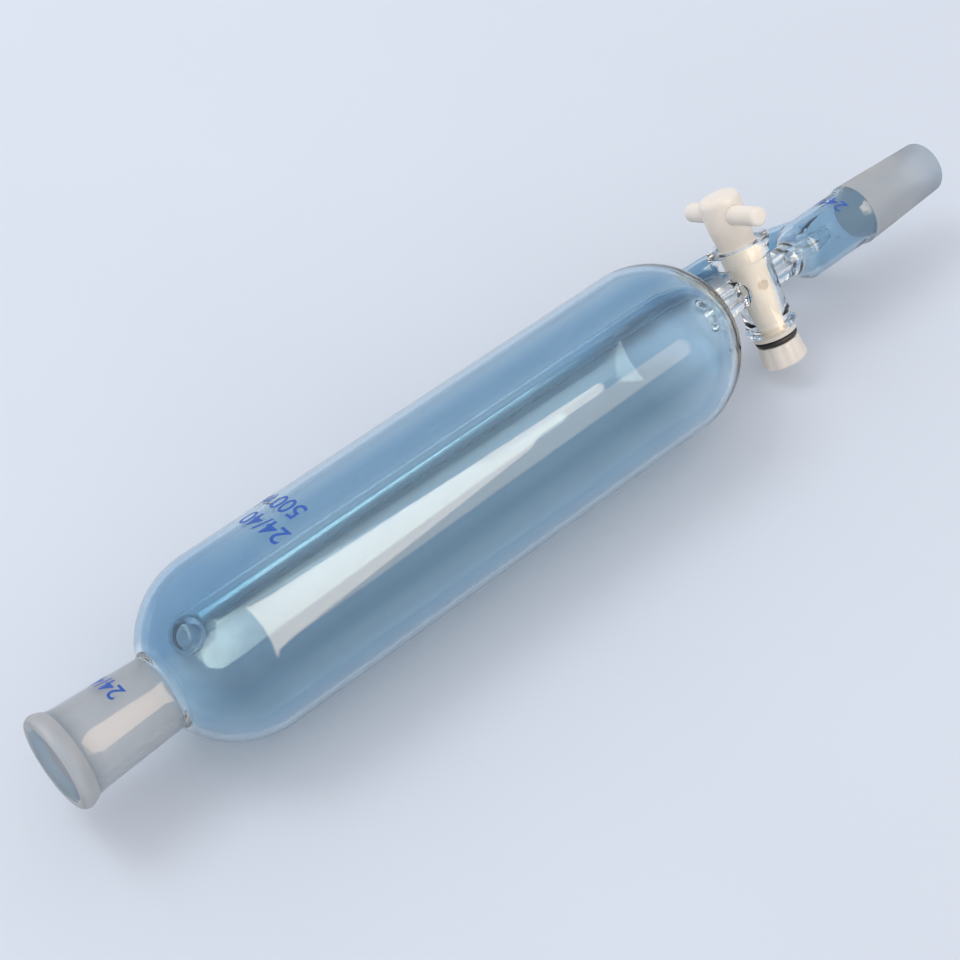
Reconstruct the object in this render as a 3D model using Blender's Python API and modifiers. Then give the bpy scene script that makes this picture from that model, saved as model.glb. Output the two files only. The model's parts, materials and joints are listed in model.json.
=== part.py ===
"""Pressure-equalising addition funnel, 500 mL, lying on its reservoir and side arm.

The funnel's axis runs along +X from the socket joint (mouth) to the cone joint (tip). Stations are
distances from the mouth along that axis. The glass body is made of the blanks that a glassblower
fuses, and the stopcock is a plug with a handle, washer, rubber ring and nut on its own axis.
"""
import bpy
import bmesh
import math
from mathutils import Matrix, Vector

MM = 0.001
GAP = 0.3 * MM                     # clearance between neighbouring solids

# Stations along the funnel's axis, from the mouth
NECK_STATION = 41.0 * MM
RESERVOIR_END_STATION = 289.0 * MM
STOPCOCK_STATION = 310.1 * MM
CHAMBER_STATION = 327.3 * MM       # where the outlet arm becomes the drip chamber's shoulder
CHAMBER_FULL_STATION = 335.5 * MM
CONE_SHOULDER_STATION = 360.8 * MM
CONE_STATION = 364.5 * MM          # large end of the cone
OVERALL_LENGTH = 404.5 * MM

# 24/40 joints: 24 mm at the large end, 40 mm long, taper 1:10 on diameter
JOINT_LARGE_RADIUS = 12.1 * MM
JOINT_SMALL_RADIUS = 10.2 * MM
JOINT_TAPER = 0.05
SOCKET_BEAD_RADIUS = 17.0 * MM
SOCKET_TUBE_RADIUS = 15.0 * MM
NECK_RADIUS = 13.2 * MM
CONE_WALL = 1.8 * MM

RESERVOIR_RADIUS = 32.5 * MM
RESERVOIR_WALL = 2.2 * MM
RESERVOIR_BASE_THICKNESS = 4.5 * MM
RESERVOIR_STEPS = 40               # a multiple of four, so a vertex line lies on the table

SIDE_ARM_RADIUS = 4.75 * MM
SIDE_ARM_BORE_RADIUS = 3.4 * MM
SIDE_ARM_DISTANCE = 45.0 * MM      # from the funnel's axis to the side arm's axis
SIDE_ARM_UPPER_PORT = 66.5 * MM    # station
SIDE_ARM_UPPER_BEND = 10.0 * MM
SIDE_ARM_LOWER_BEND = 15.0 * MM
SIDE_ARM_LOWER_PORT = 352.6 * MM   # station where it meets the drip chamber's wall
SIDE_ARM_LOWER_SLOPE = math.radians(53)
SIDE_ARM_FLARE = 1.42              # how much wider the tube is where it is fused on

ARM_RADIUS = 5.7 * MM
ARM_FLARE_RADIUS = 6.9 * MM
FLOW_BORE_RADIUS = 2.0 * MM

CHAMBER_RADIUS = 11.2 * MM
CHAMBER_WALL = 1.8 * MM
DRIP_TUBE_RADIUS = 3.8 * MM
DRIP_TUBE_BORE_RADIUS = 2.4 * MM
DRIP_TIP_STATION = 347.0 * MM

# Heights along the stopcock's own axis, from the funnel's axis; positive towards the handle
BARREL_TOP = 16.5 * MM
BARREL_BOTTOM = -19.0 * MM
BARREL_RADIUS = 9.2 * MM
BARREL_TOP_RADIUS = 12.4 * MM
BARREL_BOTTOM_RADIUS = 10.0 * MM
PLUG_COLLAR_RADIUS = 7.6 * MM
PLUG_COLLAR_BOTTOM = 9.5 * MM
PLUG_LARGE_RADIUS = 7.3 * MM
PLUG_SMALL_RADIUS = 5.2 * MM
PLUG_SMALL_END = -18.4 * MM
TAIL_RADIUS = 4.0 * MM
TAIL_END = -31.6 * MM
HEAD_BOTTOM = 17.0 * MM
HEAD_TOP = 36.3 * MM
HEAD_RADIUS = 7.9 * MM
HEAD_NECK_RADIUS = 7.1 * MM
HEAD_ROUNDING = 3.0 * MM
BAR_HEIGHT = 28.3 * MM
BAR_RADIUS = 3.6 * MM
BAR_LENGTH = 50.0 * MM
BAR_TURN = math.radians(100)       # handle's turn from the flow line: a shade past closed
WASHER_TOP = -19.3 * MM
WASHER_THICKNESS = 1.8 * MM
WASHER_RADIUS = 8.5 * MM
RING_TOP = -21.4 * MM
RING_THICKNESS = 2.0 * MM
RING_RADIUS = 8.15 * MM
NUT_TOP = -23.7 * MM
NUT_BOTTOM = -32.6 * MM
NUT_TOP_RADIUS = 7.9 * MM
NUT_BOTTOM_RADIUS = 8.7 * MM
NUT_ROUNDING = 1.3 * MM

# The funnel lies on the reservoir and on the side arm, so their lowest lines share one height
SIDE_ARM_ANGLE = math.asin((RESERVOIR_RADIUS - SIDE_ARM_RADIUS) / SIDE_ARM_DISTANCE)
SIDE_ARM_REACH = SIDE_ARM_DISTANCE * math.cos(SIDE_ARM_ANGLE) + SIDE_ARM_RADIUS
AXIS_X = -OVERALL_LENGTH / 2
AXIS_Y = (RESERVOIR_RADIUS - SIDE_ARM_REACH) / 2
AXIS_Z = RESERVOIR_RADIUS

GLASS_COLOUR = (0.30, 0.47, 0.58, 1.0)
GROUND_COLOUR = (0.42, 0.45, 0.46, 1.0)
PTFE_COLOUR = (0.80, 0.74, 0.66, 1.0)
RUBBER_COLOUR = (0.012, 0.010, 0.010, 1.0)


# Scene, collections and materials

def clear_scene():
    for old in list(bpy.data.objects):
        bpy.data.objects.remove(old, do_unlink=True)


def make_collection(name):
    collection = bpy.data.collections.new(name)
    bpy.context.scene.collection.children.link(collection)
    return collection


def make_material(name, colour, roughness):
    material = bpy.data.materials.new(name)
    material.use_nodes = True
    shader = material.node_tree.nodes["Principled BSDF"]
    shader.inputs["Base Color"].default_value = colour
    shader.inputs["Roughness"].default_value = roughness
    shader.inputs["Metallic"].default_value = 0.0
    material.diffuse_color = colour
    return material


clear_scene()
PARTS = make_collection("addition_funnel")
CUTTERS = make_collection("addition_funnel_cutters")


def make_axis(name, location, rotation):
    """An empty whose local Z is the axis that its children are turned about."""
    axis = bpy.data.objects.new(name, None)
    axis.location = location
    axis.rotation_euler = rotation
    axis.empty_display_size = 0.02
    PARTS.objects.link(axis)
    return axis


# Local Z of the funnel's axis points out of the mouth, so a station is a negative local height
FUNNEL_AXIS = make_axis("funnel_axis", (AXIS_X, AXIS_Y, AXIS_Z), (0, -math.pi / 2, 0))
STOPCOCK_AXIS = make_axis("stopcock_axis", (AXIS_X + STOPCOCK_STATION, AXIS_Y, AXIS_Z),
                          (-SIDE_ARM_ANGLE, 0, 0))
PLUG_AXIS = make_axis("plug_axis", (0, 0, 0), (0, 0, -BAR_TURN))
PLUG_AXIS.parent = STOPCOCK_AXIS


# Shapes

def arc(centre, radius, start, end, steps):
    """Points of a circular arc in the profile plane, from one angle in degrees to another."""
    angles = [math.radians(start + (end - start) * i / steps) for i in range(steps + 1)]
    return [(centre[0] + radius * math.cos(a), centre[1] + radius * math.sin(a)) for a in angles]


def turned(name, profile, steps, parent, collection=PARTS, material=None):
    """A closed profile of (radius, height) turned about local Z; it runs down its outer side."""
    mesh = bpy.data.meshes.new(name)
    points = [(radius, 0.0, height) for radius, height in profile]
    count = len(points)
    mesh.from_pydata(points, [(i, (i + 1) % count) for i in range(count)], [])
    piece = bpy.data.objects.new(name, mesh)
    collection.objects.link(piece)
    piece.parent = parent
    screw = piece.modifiers.new("Turn", 'SCREW')
    screw.axis = 'Z'
    screw.angle = math.tau
    screw.steps = steps
    screw.render_steps = steps
    screw.use_merge_vertices = True
    screw.merge_threshold = 0.00001
    screw.use_smooth_shade = True
    finish(piece, collection, material)
    return piece


def turned_rod(name, profile, steps, parent, collection=PARTS, material=None):
    """A solid turned piece: an open profile from the axis at the top to the axis at the bottom."""
    piece = turned(name, profile, steps, parent, collection, material)
    mesh = piece.data
    mesh.clear_geometry()
    points = [(radius, 0.0, height) for radius, height in profile]
    mesh.from_pydata(points, [(i, i + 1) for i in range(len(points) - 1)], [])
    return piece


def rod(name, radius, length, parent, collection=PARTS, material=None, rounding=0.0):
    """A cylinder along local X, centred, with its end edges rounded."""
    mesh = bpy.data.meshes.new(name)
    shape = bmesh.new()
    bmesh.ops.create_cone(shape, cap_ends=True, segments=24, radius1=radius, radius2=radius,
                          depth=length, matrix=Matrix.Rotation(math.pi / 2, 4, 'Y'))
    shape.to_mesh(mesh)
    shape.free()
    mesh.shade_smooth()
    mesh.set_sharp_from_angle(angle=math.radians(40))
    piece = bpy.data.objects.new(name, mesh)
    collection.objects.link(piece)
    piece.parent = parent
    if rounding:
        bevel = piece.modifiers.new("Rounded ends", 'BEVEL')
        bevel.width = rounding
        bevel.segments = 3
        bevel.limit_method = 'ANGLE'
        bevel.angle_limit = math.radians(60)
    finish(piece, collection, material)
    return piece


def tube_mesh(name, points, radii, sides, collection=PARTS, material=None):
    """A rod swept along a line of points with a radius at each, as a closed mesh."""
    curve = bpy.data.curves.new(name, 'CURVE')
    curve.dimensions = '3D'
    curve.bevel_depth = 1.0
    curve.bevel_resolution = sides
    curve.use_fill_caps = True
    spline = curve.splines.new('POLY')
    spline.points.add(len(points) - 1)
    for point, place, radius in zip(spline.points, points, radii):
        point.co = (place[0], place[1], place[2], 1.0)
        point.radius = radius
    path = bpy.data.objects.new(name, curve)
    collection.objects.link(path)
    bpy.context.view_layer.update()
    mesh = bpy.data.meshes.new_from_object(path.evaluated_get(bpy.context.evaluated_depsgraph_get()))
    shape = bmesh.new()
    shape.from_mesh(mesh)
    bmesh.ops.remove_doubles(shape, verts=shape.verts, dist=0.00001)
    bmesh.ops.recalc_face_normals(shape, faces=shape.faces)
    shape.to_mesh(mesh)
    shape.free()
    mesh.shade_smooth()
    mesh.set_sharp_from_angle(angle=math.radians(50))
    place = path.matrix_world.copy()
    bpy.data.objects.remove(path, do_unlink=True)
    mesh.name = name
    piece = bpy.data.objects.new(name, mesh)
    collection.objects.link(piece)
    piece.matrix_world = place
    finish(piece, collection, material)
    return piece


def finish(piece, collection, material):
    if collection is CUTTERS:
        piece.hide_render = True
        piece.display_type = 'WIRE'
    if material:
        piece.data.materials.append(material)


def cut(piece, cutter):
    boolean = piece.modifiers.new("Cut " + cutter.name, 'BOOLEAN')
    boolean.operation = 'DIFFERENCE'
    boolean.solver = 'EXACT'
    boolean.object = cutter


# Glass body

def upper_joint(material):
    """Socket joint: rolled bead, tapered tube, and a ground bore that tapers 1:10."""
    rim_flat = (13.4 * MM, 15.4 * MM)
    bead_width = 8.0 * MM
    outer = [(rim_flat[0], 0.0), (rim_flat[1], 0.0)]
    outer += [(16.5 * MM, -0.9 * MM), (SOCKET_BEAD_RADIUS, -2.7 * MM), (16.6 * MM, -4.6 * MM),
              (15.6 * MM, -6.6 * MM), (SOCKET_TUBE_RADIUS, -bead_width)]
    outer += [(NECK_RADIUS, -NECK_STATION)]
    bore_end = JOINT_LARGE_RADIUS - JOINT_TAPER * NECK_STATION
    inner = [(bore_end, -NECK_STATION), (JOINT_LARGE_RADIUS - JOINT_TAPER * 4 * MM, -4 * MM),
             (12.5 * MM, -1.2 * MM)]
    return turned("upper_joint", outer + inner, 32, FUNNEL_AXIS, material=material)


def reservoir_outline(offset):
    """Outer side: neck, round shoulder, straight wall, round end; grown outwards by offset."""
    radius = RESERVOIR_RADIUS + offset
    upper = NECK_STATION + math.sqrt(RESERVOIR_RADIUS ** 2 - NECK_RADIUS ** 2)
    lower = RESERVOIR_END_STATION - RESERVOIR_RADIUS
    start = math.degrees(math.acos(NECK_RADIUS / RESERVOIR_RADIUS))
    end = -math.degrees(math.acos(ARM_FLARE_RADIUS / RESERVOIR_RADIUS))
    return arc((0, -upper), radius, start, 0, 6) + arc((0, -lower), radius, 0, end, 7)


def reservoir(material, side_bore):
    """One blown vessel with a thicker base where the inlet arm is fused on."""
    upper = NECK_STATION + math.sqrt(RESERVOIR_RADIUS ** 2 - NECK_RADIUS ** 2)
    lower = RESERVOIR_END_STATION - RESERVOIR_RADIUS
    inner_radius = RESERVOIR_RADIUS - RESERVOIR_WALL
    neck_bore = JOINT_LARGE_RADIUS - JOINT_TAPER * NECK_STATION
    outer = reservoir_outline(0.0)
    neck_top = (NECK_RADIUS, -NECK_STATION - GAP)
    outer[0] = neck_top
    depth = RESERVOIR_RADIUS - RESERVOIR_BASE_THICKNESS
    base_bore = 3.0 * MM
    base_angle = math.acos(base_bore / inner_radius)
    angles = [-base_angle * (1 - i / 7) for i in range(8)]
    inner = [(inner_radius * math.cos(a), -lower + depth * math.sin(a)) for a in angles]
    base_face = outer[-1][1]
    inner.insert(0, (base_bore, base_face))
    top_angle = math.degrees(math.acos(neck_bore / inner_radius))
    inner += arc((0, -upper), inner_radius, 0, top_angle, 6)
    inner += [(neck_bore, -NECK_STATION - GAP)]
    piece = turned("reservoir", outer + inner, RESERVOIR_STEPS, FUNNEL_AXIS, material=material)
    cut(piece, side_bore)
    return piece


def inlet_arm(material, barrel_envelope):
    """Thick arm from the reservoir's base; its bore narrows to the flow bore at the barrel."""
    start = RESERVOIR_END_STATION - RESERVOIR_RADIUS
    start += math.sqrt(RESERVOIR_RADIUS ** 2 - ARM_FLARE_RADIUS ** 2) + GAP
    end = STOPCOCK_STATION - 4 * MM
    outer = [(ARM_FLARE_RADIUS, -start), (6.1 * MM, -start - 2.2 * MM), (ARM_RADIUS, -start - 5 * MM),
             (6.0 * MM, -end + 8 * MM), (ARM_FLARE_RADIUS, -end + 4 * MM), (ARM_FLARE_RADIUS, -end)]
    inner = [(FLOW_BORE_RADIUS, -end), (FLOW_BORE_RADIUS, -end + 8 * MM), (3.0 * MM, -start)]
    piece = turned("inlet_arm", outer + inner, 24, FUNNEL_AXIS, material=material)
    cut(piece, barrel_envelope)
    return piece


def outlet_arm(material, barrel_envelope):
    """Thick arm from the barrel to the drip chamber's shoulder."""
    start = STOPCOCK_STATION + 4 * MM
    end = CHAMBER_STATION - GAP
    outer = [(ARM_FLARE_RADIUS, -start), (ARM_FLARE_RADIUS, -start - 4 * MM),
             (6.1 * MM, -start - 7 * MM), (6.1 * MM, -end)]
    inner = [(DRIP_TUBE_BORE_RADIUS, -end), (FLOW_BORE_RADIUS, -start)]
    piece = turned("outlet_arm", outer + inner, 24, FUNNEL_AXIS, material=material)
    cut(piece, barrel_envelope)
    return piece


def drip_tube(material):
    """Inner tube: its bell is fused inside the chamber's shoulder, its tip is cut slantwise."""
    start = CHAMBER_STATION + 2.4 * MM
    outer = [(4.6 * MM, -start), (5.4 * MM, -start - 1.6 * MM), (DRIP_TUBE_RADIUS, -start - 4 * MM),
             (DRIP_TUBE_RADIUS, -DRIP_TIP_STATION + 5 * MM), (3.0 * MM, -DRIP_TIP_STATION)]
    inner = [(1.7 * MM, -DRIP_TIP_STATION), (DRIP_TUBE_BORE_RADIUS, -DRIP_TIP_STATION + 5 * MM),
             (DRIP_TUBE_BORE_RADIUS, -start)]
    piece = turned("drip_tube", outer + inner, 16, FUNNEL_AXIS, material=material)
    mesh = bpy.data.meshes.new("drip_tip_cutter")
    shape = bmesh.new()
    slant = Matrix.Rotation(math.radians(30), 4, 'Y')
    place = Matrix.Translation((0, 0, -DRIP_TIP_STATION - 4 * MM))
    bmesh.ops.create_cube(shape, size=10 * MM, matrix=place @ slant)
    shape.to_mesh(mesh)
    shape.free()
    cutter = bpy.data.objects.new("drip_tip_cutter", mesh)
    CUTTERS.objects.link(cutter)
    cutter.parent = FUNNEL_AXIS
    finish(cutter, CUTTERS, None)
    cut(piece, cutter)
    return piece


def chamber_outline(offset):
    return [(6.1 * MM + offset, -CHAMBER_STATION), (6.9 * MM + offset, -CHAMBER_STATION - 2.2 * MM),
            (9.2 * MM + offset, -CHAMBER_STATION - 4.4 * MM),
            (10.7 * MM + offset, -CHAMBER_STATION - 6.4 * MM),
            (CHAMBER_RADIUS + offset, -CHAMBER_FULL_STATION),
            (CHAMBER_RADIUS + offset, -CONE_SHOULDER_STATION + GAP)]


def drip_chamber(material, side_bore):
    """Round-shouldered tube below the stopcock, with the side arm's lower port in its wall."""
    outer = chamber_outline(0.0)
    inner = [(radius - CHAMBER_WALL, height) for radius, height in reversed(chamber_outline(0.0))]
    piece = turned("drip_chamber", outer + inner, 32, FUNNEL_AXIS, material=material)
    cut(piece, side_bore)
    return piece


def lower_joint(material):
    """Cone joint, ground outside, with a short shoulder above it and a rounded tip."""
    rounding = 0.5 * MM
    outer = [(CHAMBER_RADIUS, -CONE_SHOULDER_STATION), (11.7 * MM, -CONE_SHOULDER_STATION - 1.8 * MM),
             (JOINT_LARGE_RADIUS, -CONE_STATION), (JOINT_SMALL_RADIUS, -OVERALL_LENGTH + rounding),
             (JOINT_SMALL_RADIUS - rounding, -OVERALL_LENGTH)]
    inner = [(JOINT_SMALL_RADIUS - CONE_WALL, -OVERALL_LENGTH),
             (JOINT_LARGE_RADIUS - CONE_WALL, -CONE_STATION),
             (CHAMBER_RADIUS - CHAMBER_WALL, -CONE_SHOULDER_STATION)]
    return turned("lower_joint", outer + inner, 32, FUNNEL_AXIS, material=material)


def barrel_outline(offset):
    """Flared at both ends; the top flange is the wider one."""
    return [(11.9 * MM + offset, BARREL_TOP), (BARREL_TOP_RADIUS + offset, 15.8 * MM),
            (12.3 * MM + offset, 14.7 * MM), (11.1 * MM + offset, 12.6 * MM),
            (10.0 * MM + offset, 9.8 * MM), (9.5 * MM + offset, 6.0 * MM),
            (BARREL_RADIUS + offset, 0.0), (8.7 * MM + offset, -8.0 * MM),
            (8.7 * MM + offset, -12.0 * MM), (9.1 * MM + offset, -14.6 * MM),
            (9.8 * MM + offset, -16.9 * MM), (BARREL_BOTTOM_RADIUS + offset, -18.2 * MM),
            (9.6 * MM + offset, BARREL_BOTTOM)]


def stopcock_barrel(material, flow_bore):
    """Glass barrel with a tapered bore for the plug and the flow bore across it."""
    inner = [(PLUG_SMALL_RADIUS + GAP, BARREL_BOTTOM), (PLUG_SMALL_RADIUS + GAP, PLUG_SMALL_END),
             (PLUG_LARGE_RADIUS + GAP, PLUG_COLLAR_BOTTOM - GAP),
             (PLUG_COLLAR_RADIUS + GAP, PLUG_COLLAR_BOTTOM - GAP), (8.2 * MM, BARREL_TOP)]
    piece = turned("stopcock_barrel", barrel_outline(0.0) + inner, 32, STOPCOCK_AXIS, material=material)
    cut(piece, flow_bore)
    return piece


def side_arm_path(inner_start, outer_end):
    """Centre line: out of the shoulder, along the body, and slantwise into the drip chamber."""
    reach = Vector((0, math.cos(SIDE_ARM_ANGLE), -math.sin(SIDE_ARM_ANGLE)))
    origin = Vector((AXIS_X, AXIS_Y, AXIS_Z))

    def place(station, distance):
        return origin + Vector((station, 0, 0)) + reach * distance

    slope = SIDE_ARM_LOWER_SLOPE
    lower_corner = SIDE_ARM_LOWER_PORT - (SIDE_ARM_DISTANCE - CHAMBER_RADIUS) / math.tan(slope)
    tangent = SIDE_ARM_LOWER_BEND * math.tan(slope / 2)
    points = [place(SIDE_ARM_UPPER_PORT, inner_start + (35 * MM - inner_start) * i / 4) for i in range(4)]
    for i in range(7):
        angle = math.pi / 2 * i / 6
        points.append(place(SIDE_ARM_UPPER_PORT + SIDE_ARM_UPPER_BEND * (1 - math.cos(angle)),
                            SIDE_ARM_DISTANCE - SIDE_ARM_UPPER_BEND * (1 - math.sin(angle))))
    for i in range(6):
        angle = slope * i / 5
        points.append(place(lower_corner - tangent + SIDE_ARM_LOWER_BEND * math.sin(angle),
                            SIDE_ARM_DISTANCE - SIDE_ARM_LOWER_BEND * (1 - math.cos(angle))))
    last = points[-1]
    end = place(SIDE_ARM_LOWER_PORT + (CHAMBER_RADIUS - outer_end) / math.tan(slope), outer_end)
    points += [last.lerp(end, (i + 1) / 4) for i in range(4)]
    return points


def side_arm_radii(points, radius):
    """Full flare at both ends, easing to the plain radius within 12 mm."""
    ease = 12 * MM
    lengths = [0.0]
    for here, there in zip(points, points[1:]):
        lengths.append(lengths[-1] + (there - here).length)
    radii = []
    for run in lengths:
        near = min(run, lengths[-1] - run)
        share = max(0.0, 1 - near / ease)
        radii.append(radius * (1 + (SIDE_ARM_FLARE - 1) * share))
    return radii


def side_arm(material, side_bore, reservoir_envelope, chamber_envelope):
    points = side_arm_path(27 * MM, 8 * MM)
    piece = tube_mesh("side_arm", points, side_arm_radii(points, SIDE_ARM_RADIUS), 5, material=material)
    cut(piece, side_bore)
    cut(piece, reservoir_envelope)
    cut(piece, chamber_envelope)
    return piece


# Stopcock assembly

def stopcock_plug(material, plug_bore, bar_hole):
    """Tapered plug, round head above it, and the tail that carries washer, ring and nut."""
    top = arc((HEAD_RADIUS - HEAD_ROUNDING, HEAD_TOP - HEAD_ROUNDING), HEAD_ROUNDING, 90, 0, 4)
    profile = [(0.0, HEAD_TOP)] + top
    profile += [(HEAD_RADIUS, 23.0 * MM), (7.4 * MM, 20.0 * MM), (HEAD_NECK_RADIUS, HEAD_BOTTOM),
                (PLUG_COLLAR_RADIUS, 15.6 * MM), (PLUG_COLLAR_RADIUS, PLUG_COLLAR_BOTTOM),
                (PLUG_LARGE_RADIUS, PLUG_COLLAR_BOTTOM), (PLUG_SMALL_RADIUS, PLUG_SMALL_END),
                (TAIL_RADIUS, PLUG_SMALL_END), (TAIL_RADIUS, TAIL_END + 0.6 * MM),
                (TAIL_RADIUS - 0.6 * MM, TAIL_END), (0.0, TAIL_END)]
    piece = turned_rod("stopcock_plug", profile, 32, PLUG_AXIS, material=material)
    cut(piece, plug_bore)
    cut(piece, bar_hole)
    return piece


def handle_bar(material):
    piece = rod("handle_bar", BAR_RADIUS, BAR_LENGTH, PLUG_AXIS, material=material, rounding=1.0 * MM)
    piece.location = (0, 0, BAR_HEIGHT)
    return piece


def plug_washer(material):
    bottom = WASHER_TOP - WASHER_THICKNESS
    bore = TAIL_RADIUS + GAP
    chamfer = 0.25 * MM
    profile = [(bore, WASHER_TOP), (WASHER_RADIUS - chamfer, WASHER_TOP),
               (WASHER_RADIUS, WASHER_TOP - chamfer), (WASHER_RADIUS, bottom + chamfer),
               (WASHER_RADIUS - chamfer, bottom), (bore, bottom)]
    return turned("plug_washer", profile, 32, PLUG_AXIS, material=material)


def seal_ring(material):
    """Rubber ring, squeezed a little flat between the washer and the nut."""
    half = RING_THICKNESS / 2
    middle = RING_TOP - half
    bore = TAIL_RADIUS + GAP
    profile = [(bore, RING_TOP)] + arc((RING_RADIUS - half, middle), half, 90, -90, 6)
    profile += [(bore, RING_TOP - RING_THICKNESS)]
    return turned("seal_ring", profile, 32, PLUG_AXIS, material=material)


def plug_nut(material):
    bore = TAIL_RADIUS + GAP
    rounded = arc((NUT_BOTTOM_RADIUS - NUT_ROUNDING, NUT_BOTTOM + NUT_ROUNDING), NUT_ROUNDING, 0, -90, 4)
    profile = [(bore, NUT_TOP), (NUT_TOP_RADIUS - 0.4 * MM, NUT_TOP), (NUT_TOP_RADIUS, NUT_TOP - 0.4 * MM)]
    profile += rounded + [(bore, NUT_BOTTOM)]
    return turned("plug_nut", profile, 32, PLUG_AXIS, material=material)


# Cutters

def flow_cutter(name, length, parent, height=0.0, radius=FLOW_BORE_RADIUS):
    cutter = rod(name, radius, length, parent, CUTTERS)
    cutter.location = (0, 0, height)
    return cutter


def envelope(name, outline, steps, parent):
    """A solid of a piece's outer shape grown by the gap, to trim what meets it."""
    top = (0.0, outline[0][1])
    bottom = (0.0, outline[-1][1])
    return turned_rod(name, [top] + outline + [bottom], steps, parent, CUTTERS)


def build():
    clear_glass = make_material("borosilicate_glass", GLASS_COLOUR, 0.05)
    ground_glass = make_material("ground_glass", GROUND_COLOUR, 0.6)
    ptfe = make_material("ptfe", PTFE_COLOUR, 0.4)
    rubber = make_material("black_rubber", RUBBER_COLOUR, 0.5)

    bore_points = side_arm_path(22 * MM, 5 * MM)
    side_bore = tube_mesh("side_arm_bore_cutter", bore_points,
                          side_arm_radii(bore_points, SIDE_ARM_BORE_RADIUS), 5, CUTTERS)
    reservoir_envelope = envelope("reservoir_envelope", reservoir_outline(GAP), RESERVOIR_STEPS,
                                  FUNNEL_AXIS)
    chamber_envelope = envelope("chamber_envelope", chamber_outline(GAP), 32, FUNNEL_AXIS)
    barrel_envelope = envelope("barrel_envelope", barrel_outline(GAP), 32, STOPCOCK_AXIS)
    flow_bore = flow_cutter("flow_bore_cutter", 30 * MM, STOPCOCK_AXIS)
    plug_bore = flow_cutter("plug_bore_cutter", 30 * MM, PLUG_AXIS)
    bar_hole = flow_cutter("bar_hole_cutter", 30 * MM, PLUG_AXIS, BAR_HEIGHT, BAR_RADIUS + GAP)

    upper_joint(ground_glass)
    reservoir(clear_glass, side_bore)
    side_arm(clear_glass, side_bore, reservoir_envelope, chamber_envelope)
    inlet_arm(clear_glass, barrel_envelope)
    stopcock_barrel(clear_glass, flow_bore)
    outlet_arm(clear_glass, barrel_envelope)
    drip_tube(clear_glass)
    drip_chamber(clear_glass, side_bore)
    lower_joint(ground_glass)

    stopcock_plug(ptfe, plug_bore, bar_hole)
    handle_bar(ptfe)
    plug_washer(ptfe)
    seal_ring(rubber)
    plug_nut(ptfe)


build()
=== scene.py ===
import json
import math
import bmesh
import bpy
import numpy as np
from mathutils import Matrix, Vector

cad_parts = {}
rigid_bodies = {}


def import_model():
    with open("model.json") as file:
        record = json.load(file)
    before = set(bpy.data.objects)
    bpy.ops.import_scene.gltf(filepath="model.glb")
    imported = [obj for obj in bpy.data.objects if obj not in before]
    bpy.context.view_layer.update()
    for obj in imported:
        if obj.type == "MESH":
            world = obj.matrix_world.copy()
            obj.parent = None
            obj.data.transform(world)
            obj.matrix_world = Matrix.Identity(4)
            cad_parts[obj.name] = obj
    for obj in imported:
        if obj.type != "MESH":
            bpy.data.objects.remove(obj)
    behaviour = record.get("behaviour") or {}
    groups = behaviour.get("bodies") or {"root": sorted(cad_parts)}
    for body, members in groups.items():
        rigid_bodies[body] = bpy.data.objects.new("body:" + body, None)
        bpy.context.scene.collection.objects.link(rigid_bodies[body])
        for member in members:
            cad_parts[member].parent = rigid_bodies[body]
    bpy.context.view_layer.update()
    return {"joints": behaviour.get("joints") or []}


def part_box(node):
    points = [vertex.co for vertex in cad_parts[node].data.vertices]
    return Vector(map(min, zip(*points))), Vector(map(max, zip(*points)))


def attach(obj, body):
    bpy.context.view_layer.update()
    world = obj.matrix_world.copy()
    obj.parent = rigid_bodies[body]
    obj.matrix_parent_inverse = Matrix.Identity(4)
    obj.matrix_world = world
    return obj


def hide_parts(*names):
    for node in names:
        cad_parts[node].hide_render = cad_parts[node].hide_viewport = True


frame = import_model()
print("frame loaded")

mm = 0.001

# Where the part stands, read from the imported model: the middle of the mouth, which every station is measured
# from, the stopcock's centre and the two axes
jointLow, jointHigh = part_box("upper_joint")
vesselLow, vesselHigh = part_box("reservoir")
plugTurn = next(joint for joint in frame["joints"] if joint["name"] == "plug_turn")
mouth = np.array([jointLow.x, (vesselLow.y + vesselHigh.y) / 2, (vesselLow.z + vesselHigh.z) / 2])
stopcock = np.array(plugTurn["pos_m"])
alongFunnel = np.array([1.0, 0.0, 0.0])
alongPlug = np.array(plugTurn["axis"], float)
alongPlug /= np.linalg.norm(alongPlug)
toSideArm = np.cross(alongPlug, alongFunnel)
toSideArm /= np.linalg.norm(toSideArm)
tapStation = (stopcock[0] - mouth[0]) / mm


# Profiles: points of (place along the axis, radius), in millimetres

def smooth(points, spans=6):
    # A Catmull-Rom curve: each span is the cubic whose end slopes are half the chord over both neighbours
    given = np.array(points, float)
    padded = np.vstack([2 * given[0] - given[1], given, 2 * given[-1] - given[-2]])
    before, start, end, after = padded[:-3], padded[1:-2], padded[2:-1], padded[3:]
    share = np.linspace(0, 1, spans, endpoint=False)[None, :, None]
    before, start, end, after = (part[:, None, :] for part in (before, start, end, after))
    curve = 0.5 * (2 * start + (end - before) * share
                   + (2 * before - 5 * start + 4 * end - after) * share ** 2
                   + (3 * start - before - 3 * end + after) * share ** 3)
    return np.vstack([curve.reshape(-1, 2), given[-1]])


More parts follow.
